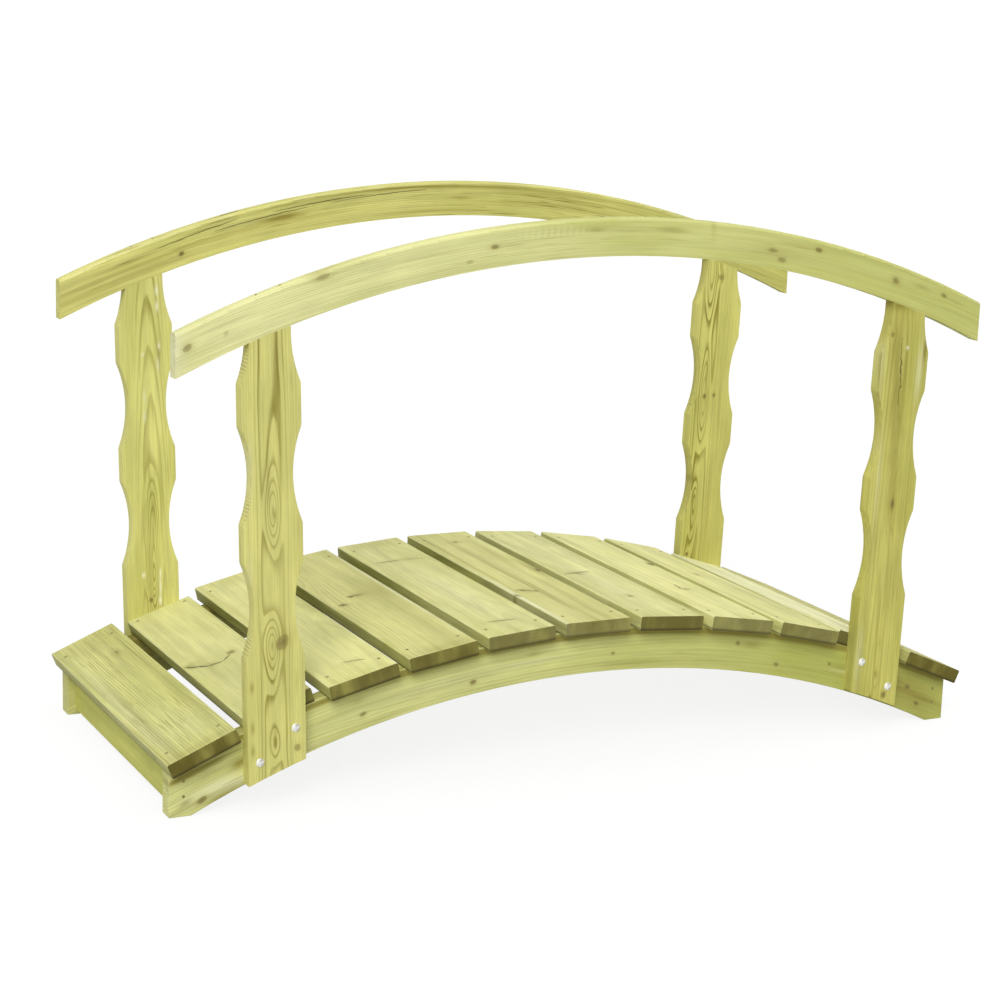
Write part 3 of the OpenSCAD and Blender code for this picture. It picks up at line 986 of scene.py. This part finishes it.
# %% Finish the handrails
rail_bow = 0.48
finish_set({
    "handrail_near": dict(
        tint=(238, 237, 171), bow=rail_bow, fade=(-930, 700, 0.92), Pith=(0, 0.22, -0.04),
        Slope=(0, 0.005, 0), Ring=0.0042, Rings=0.34, Streaks=0.4, Patches=0.4, Ends=0,
        Fibre=0.75, Dashes=0.3, Wear=0.1,
        swellings=[(-570, 41, 40, 10, 8), (20, 106, 60, 8, 6), (119, 106, 50, 8, 6),
                   (690, -17, 40, 7, 6)],
        knots=[(-815, -77, 6, 1.2, 0.5), (-746, -55, 3.5, 1.2, 0.25), (-570, 37, 5, 2.4, 0.45),
               (-241, 82, 4, 1.8, 0.6), (-290, 56, 3.5, 1.8, 0.25), (364, 44, 5, 1.8, 0.5),
               (343, 62, 5, 2, 0.5), (446, 61, 5, 1.6, 0.7), (629, -3, 6.5, 1.2, 0.55),
               (746, -36, 4.5, 1.5, 0.55)],
        # The long thin line at 50 across is painted shade along the rounded lower edge.
        stains=[(0, 50, 900, 2.5, 0.45), (-574, 44, 24, 4, 0.42), (-38, 108, 18, 4, 0.55),
                (119, 106, 30, 5, 0.5), (20, 106, 40, 3, 0.32), (690, -17, 20, 4, 0.55),
                (772, -48, 22, 3, 0.45), (350, 56, 60, 14, 0.3), (420, 66, 60, 5, 0.35),
                (-205, 84, 26, 6, 0.25), (-241, 82, 14, 5, 0.4), (-815, -77, 12, 9, 0.35),
                (629, -3, 12, 10, 0.3), (210, 118, 6, 30, 0.3)], bare=[(-842, -90, 20, 60, 0.5)],
        chatter=[(-120, 106, 75, 8, 0.9)]),
    "handrail_far": dict(
        tint=(220, 216, 130), bow=rail_bow, fade=(-200, 900, 0.3), Pith=(0, 0.3, -0.04),
        Slope=(0, 0.01, 0), Ring=0.0036, Rings=0.55, Streaks=0.45, Patches=0.3, Ends=0,
        Fibre=1.1, Dashes=0.9, Wear=0.2, knots=[(-589, -7, 4.5, 1.2, 0.85)],
        cracks=[(-640, 4, -470, 60, 0.7, 3), (-520, 36, -320, 82, 0.8, 3),
                (-400, 72, -180, 106, 0.8, 3), (-270, 90, -60, 114, 0.6, 3)],
        stains=[(-378, 62, 46, 6, 1.1), (-640, -60, 60, 7, 0.45), (-120, 118, 160, 3, 0.9),
                (100, 116, 160, 3, 0.8), (20, 96, 24, 4, 0.6), (-60, 70, 120, 4, 0.5),
                (-500, 30, 140, 4, 0.4), (-720, -30, 80, 4, 0.4), (200, 80, 120, 5, 0.4)]),
}, edge=1)

# %% [markdown]
# ## Zinc
#
# Bolts, nuts, screws and nails are steel with a thin bright coat of zinc. Zinc shows as
# small crystals that catch the light a little differently, and it dulls in patches. The
# metal itself is set on the shader, and two noises vary its colour and how rough it is.

# %% Mix the zinc
def zinc_coat(name, tint, dullness, metal):
    """A zinc finish: its colour from 0 to 255, how dull it is and how metallic, 0 to 1."""
    material, tree = new_finish(name)
    place = out_of(add_node(tree, "TexCoord"), "Object")
    crystals = noise(place, (900, 900, 900), 2.0)
    patches = noise(place, (160, 160, 160), 3.0, 0.6)
    light = paint(*tint)
    colour = mix(rise(patches, 0.40, 0.75), light, darker(light, 0.5, 0.5, 0.45))
    finish_surface(tree, colour, (crystals + patches) * 0.16 + dullness, crystals,
                   strength=0.25, depth=0.0002, Metallic=metal)
    return material


bright_zinc = zinc_coat("bright_zinc", (238, 238, 230), 0.38, 0.6)
dull_zinc = zinc_coat("dull_zinc", (150, 143, 88), 0.48, 0.7)
print("zinc finishes:", bright_zinc.name, "and", dull_zinc.name)

# %% [markdown]
# ## Turned and pressed shapes
#
# Every fixing is a stack of rings round one line: a domed head, a washer, a nut, a thread.
# A stack can be a round one, or each ring can follow its own outline, such as the six flats
# of a nut or the star in a screw head. One helper builds them all with bmesh: it lays the
# rings one above another, joins each to the next with a strip of faces, and closes both
# ends.

# %% Write the helper that builds a stack of rings
def hexagon(across_flats, corner_cut=None):
    """An outline with six flats. A corner cut keeps it inside a circle of that radius."""
    def outline(turn):
        flat = across_flats / 2 / math.cos((turn + math.pi / 6) % (math.pi / 3) - math.pi / 6)
        return min(flat, corner_cut) if corner_cut else flat
    return outline


def star(middle, depth):
    """A soft outline with six points, as in the head of a star-drive screw."""
    return lambda turn: middle + depth * math.cos(6 * turn)


def stack_of_rings(name, rings, steps=36):
    """Builds a mesh from (outline or radius, height) in millimetres, from low to high."""
    shape = bmesh.new()
    rows = []
    for outline, height in rings:
        row = []
        for step in range(steps):
            turn = 2 * math.pi * step / steps
            radius = outline(turn) if callable(outline) else outline
            row.append(shape.verts.new((radius * math.cos(turn) / 1000,
                                        radius * math.sin(turn) / 1000, height / 1000)))
        rows.append(row)
    for low, high in zip(rows, rows[1:]):
        for step in range(steps):
            after = (step + 1) % steps
            shape.faces.new((low[step], low[after], high[after], high[step]))
    shape.faces.new(reversed(rows[0]))
    shape.faces.new(rows[-1])
    bmesh.ops.recalc_face_normals(shape, faces=shape.faces)
    mesh = bpy.data.meshes.new(name)
    shape.to_mesh(mesh)
    shape.free()
    for face in mesh.polygons:
        face.use_smooth = True
    mesh.set_sharp_from_angle(angle=math.radians(32))
    return mesh


def set_in_place(name, mesh, place, out, material):
    """Puts a copy of a fixing on the bridge, pointing out of the timber."""
    piece = bpy.data.objects.new(name, mesh)
    bpy.context.scene.collection.objects.link(piece)
    turn = Vector(out).to_track_quat("Z", "Y").to_matrix().to_4x4()
    piece.matrix_world = Matrix.Translation(place) @ turn
    if not mesh.materials:
        mesh.materials.append(material)
    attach(piece, "root")


def triangles_of(mesh):
    return sum(len(face.vertices) - 2 for face in mesh.polygons)


print("a 13 mm nut reaches from", round(hexagon(13)(0.0), 2), "mm to",
      round(hexagon(13)(math.pi / 6), 2), "mm from its middle")

# %% [markdown]
# ## Bolts
#
# Two coach bolts hold each post to its beam. From outside only their domed heads show;
# inside, under the deck, each ends in a washer, a nut and a few turns of thread. They could
# be left as heads alone, but the bridge is also seen from below, and the post would then
# hang on nothing. The upper bolt of each pair sits on the side towards the middle of the
# bridge, the lower one on the side towards its end.

# %% Make the bolts
head_rings = [(8.2, -0.6), (8.2, 0.5), (8.0, 0.95), (7.3, 1.7), (6.2, 2.3), (4.6, 2.75),
              (2.6, 3.05), (0.8, 3.15)]
washer_rings = [(11.6, 0.0), (12.0, 0.25), (12.0, 1.35), (11.6, 1.6), (4.0, 1.6)]
nut_sides, nut_chamfer = hexagon(13), hexagon(13, 6.9)
nut_rings = [(nut_chamfer, 1.6), (nut_sides, 2.2), (nut_sides, 7.5), (nut_chamfer, 8.1),
             (4.1, 8.1), (3.9, 7.6)]
thread_pitch = 1.25
thread_rings = [(3.9, 1.0)]
for thread_turn in range(9):
    thread_rings += [(3.35, 6.0 + thread_turn * thread_pitch),
                     (3.95, 6.6 + thread_turn * thread_pitch)]
thread_rings += [(3.4, 17.2)]
bolt_head = stack_of_rings("bolt_head", head_rings, 40)
bolt_washer = stack_of_rings("bolt_washer", washer_rings, 40)
bolt_nut = stack_of_rings("bolt_nut", nut_rings, 48)
bolt_thread = stack_of_rings("bolt_thread", thread_rings, 28)
print("triangles in a head, washer, nut and thread:", [triangles_of(mesh) for mesh in (
    bolt_head, bolt_washer, bolt_nut, bolt_thread)])

# %% Put the bolts in
bolt_places = [(0.609, 0.152), (0.676, 0.094)]     # from the middle of the bridge, and up
for post in ("near_left", "near_right", "far_left", "far_right"):
    near, left = post.startswith("near"), post.endswith("left")
    out = Vector((0.0, -1.0 if near else 1.0, 0.0))
    post_low, post_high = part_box("post_" + post)
    beam_low, beam_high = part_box("stringer_near" if near else "stringer_far")
    outer = post_low.y if near else post_high.y
    inner = beam_high.y if near else beam_low.y
    for number, (reach_x, height) in enumerate(bolt_places, 1):
        x = -reach_x if left else reach_x
        tag = f"{post}_{number}"
        set_in_place("bolt_head_" + tag, bolt_head, (x, outer, height), out, bright_zinc)
        for label, mesh in (("washer", bolt_washer), ("nut", bolt_nut), ("thread", bolt_thread)):
            set_in_place(f"bolt_{label}_{tag}", mesh, (x, inner, height), -out, bright_zinc)
print("bolts:", 4 * len(bolt_places))

# %% [markdown]
# ## Screws and nails
#
# Two screws hold each end of each deck board. They are driven into the beam's upper edge,
# with their heads all but flush. Two more go down through each handrail into the top of
# each post, and their place on the curve is found with a ray from above. Two nails through
# the end of each beam hold the risers. The screws have a star recess, which is pressed a
# little way into the head.

# %% Make the screws and nails
screw_rings = [(2.2, -0.8), (2.85, -0.1), (2.9, 0.12), (2.6, 0.38), (star(1.6, 0.25), 0.42),
               (star(1.45, 0.25), 0.08), (0.5, 0.05)]
nail_rings = [(2.7, -0.3), (2.9, 0.1), (2.8, 0.45), (2.2, 0.62), (0.7, 0.66)]
screw_head = stack_of_rings("screw_head", screw_rings, 36)
nail_head = stack_of_rings("nail_head", nail_rings, 24)
print("triangles in a screw head:", triangles_of(screw_head))

# %% Drive the screws
deck_boards = sorted(name for name in timber if name.startswith("deck_board"))
flat_low, flat_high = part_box("deck_board_06")
board_thickness = flat_high.z - flat_low.z
corners = [(side, edge) for side in (-1, 1) for edge in (-1, 1)]
for board_number, name in enumerate(deck_boards):
    place, turn = grain_frame(name)
    for corner_number, (side, edge) in enumerate(corners, 1):
        spot = Vector((side * screw_along / 1000, edge * screw_across / 1000,
                       board_thickness / 2))
        set_in_place(f"deck_screw_{board_number * 4 + corner_number:02d}", screw_head,
                     place + turn @ spot, turn.col[2], dull_zinc)
print("deck screws:", len(deck_boards) * len(corners))

post_top_offset, rail_screw_step, above_rails = 0.013, 0.022, 2.0
for side_name in ("near", "far"):
    rail = timber["handrail_" + side_name]
    for end in ("left", "right"):
        post = middle_of(f"post_{side_name}_{end}")
        top_x = post.x + math.copysign(post_top_offset, post.x)
        for number, step in enumerate((-rail_screw_step, rail_screw_step), 1):
            start = (top_x + step, middle_of(rail.name).y, above_rails)
            _, spot, out, _ = rail.ray_cast(start, (0, 0, -1))
            set_in_place(f"rail_screw_{side_name}_{end}_{number}", screw_head, spot, out,
                         dull_zinc)
print("the last handrail screw lies", round(spot.z, 3), "m above the ground")

# %% Drive the nails
nail_heights = (0.067, 0.038)
riser_middle = abs(middle_of("riser_left").x)
for end, end_name in ((-1, "left"), (1, "right")):
    for side_name, out_y in (("near", -1.0), ("far", 1.0)):
        beam_low, beam_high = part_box("stringer_" + side_name)
        face_y = beam_low.y if out_y < 0 else beam_high.y
        for number, height in enumerate(nail_heights, 1):
            set_in_place(f"riser_nail_{side_name}_{end_name}_{number}", nail_head,
                         (end * riser_middle, face_y, height), (0, out_y, 0), dull_zinc)
print("nails at x =", round(riser_middle, 3))
